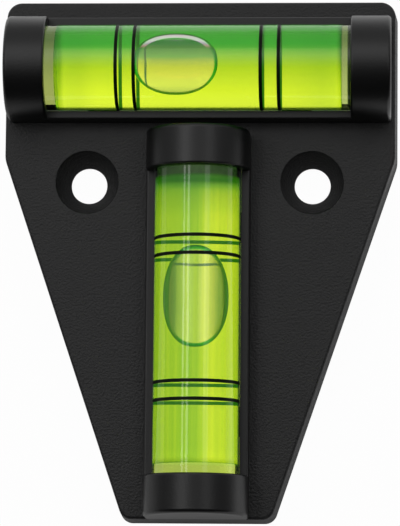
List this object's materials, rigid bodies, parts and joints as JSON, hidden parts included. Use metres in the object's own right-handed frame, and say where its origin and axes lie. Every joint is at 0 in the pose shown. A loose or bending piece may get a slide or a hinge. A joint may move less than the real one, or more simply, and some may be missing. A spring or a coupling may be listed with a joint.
{
  "type": "spirit level",
  "caption": "T-shaped surface level: tapered moulded plate with a cross vial, a stem vial and countersunk screw holes.",
  "frame": {"origin": "centre of the plate's back face, which rests on or is screwed to a surface", "axes": "+Y from the foot to the cross vial, +X along the cross vial to the right in front view, +Z out of the front face"},
  "size_m": [0.053, 0.0702, 0.0165],
  "materials": {
    "body_plastic": "fine matt moulded",
    "clear_acrylic": "polished clear",
    "vial_liquid": "clear dyed liquid",
    "air_bubble": "clear",
    "line_paint": "satin paint"
  },
  "bodies": {
    "level": {"body_shell": "body_plastic", "cross_vial_tube": "clear_acrylic", "cross_vial_plug": "clear_acrylic", "cross_vial_liquid": "vial_liquid", "cross_vial_line_1": "line_paint", "cross_vial_line_2": "line_paint", "cross_vial_line_3": "line_paint", "cross_vial_line_4": "line_paint", "stem_vial_tube": "clear_acrylic", "stem_vial_plug": "clear_acrylic", "stem_vial_liquid": "vial_liquid", "stem_vial_line_1": "line_paint", "stem_vial_line_2": "line_paint", "stem_vial_line_3": "line_paint", "stem_vial_line_4": "line_paint"},
    "cross_bubble": {"cross_vial_bubble": "air_bubble"},
    "stem_bubble": {"stem_vial_bubble": "air_bubble"}
  },
  "joints": [
    {"name": "cross_bubble_slide", "type": "slide", "parent": "level", "child": "cross_bubble", "axis": [1, 0, 0], "range_m": [-0.01038, 0.01622], "deforming": ["cross_vial_liquid"]},
    {"name": "stem_bubble_slide", "type": "slide", "parent": "level", "child": "stem_bubble", "axis": [0, 1, 0], "range_m": [-0.01502, 0.00938], "deforming": ["stem_vial_liquid"]}
  ]
}
